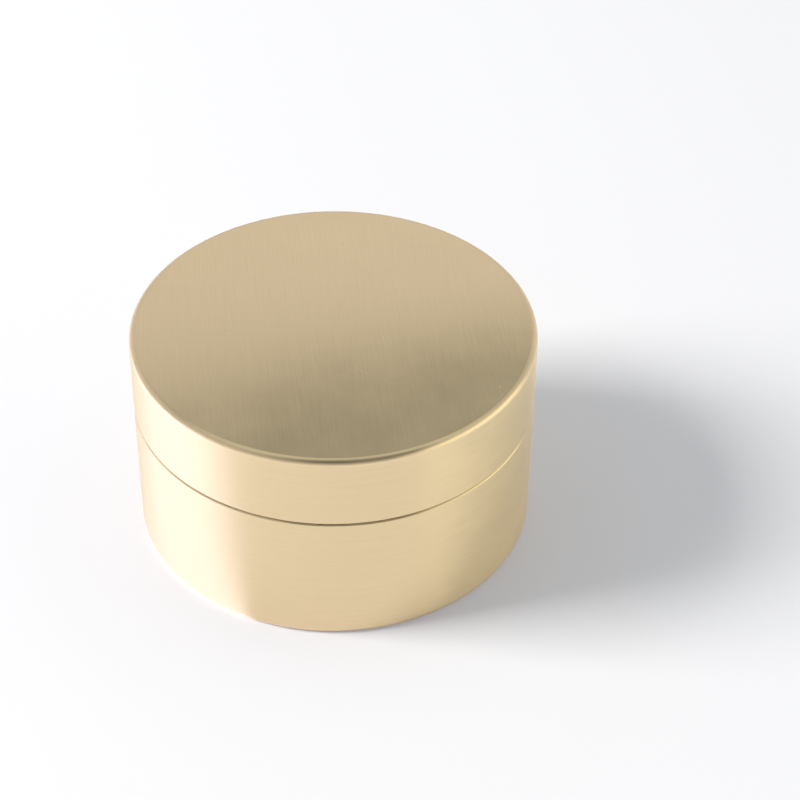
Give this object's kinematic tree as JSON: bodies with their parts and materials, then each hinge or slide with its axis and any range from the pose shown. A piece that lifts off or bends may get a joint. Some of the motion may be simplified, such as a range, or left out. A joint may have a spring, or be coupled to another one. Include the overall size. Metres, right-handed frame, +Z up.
{
  "type": "pill case",
  "caption": "Small round brass case with a flat screw lid, a seal ring on its neck and a soft liner in the lid, for keeping pills dry in a pocket.",
  "frame": {"origin": "middle of the flat foot, on the surface that the case stands on", "axes": "+Z up along the case's axis, +X to the right and +Y away from the picture's camera"},
  "size_m": [0.054, 0.054, 0.0301],
  "materials": {
    "brushed_brass": "brushed",
    "black_silicone": "satin",
    "white_silicone": "satin"
  },
  "bodies": {
    "cup": {"cup": "brushed_brass", "neck_o_ring": "black_silicone"},
    "liner": {"lid_liner": "white_silicone"},
    "lid": {"screw_lid": "brushed_brass"}
  },
  "joints": [
    {"name": "lid_rise", "type": "slide", "parent": "cup", "child": "liner", "axis": [0, 0, 1], "range_m": [0, 0.0225]},
    {"name": "lid_turn", "type": "hinge", "parent": "liner", "child": "lid", "pos_m": [0, 0, 0.0196], "axis": [0, 0, 1], "range_deg": [0, 1800]}
  ],
  "couplings": [
    {"joint": "lid_rise", "follows": "lid_turn", "m_per_rad": 0.0007162}
  ]
}
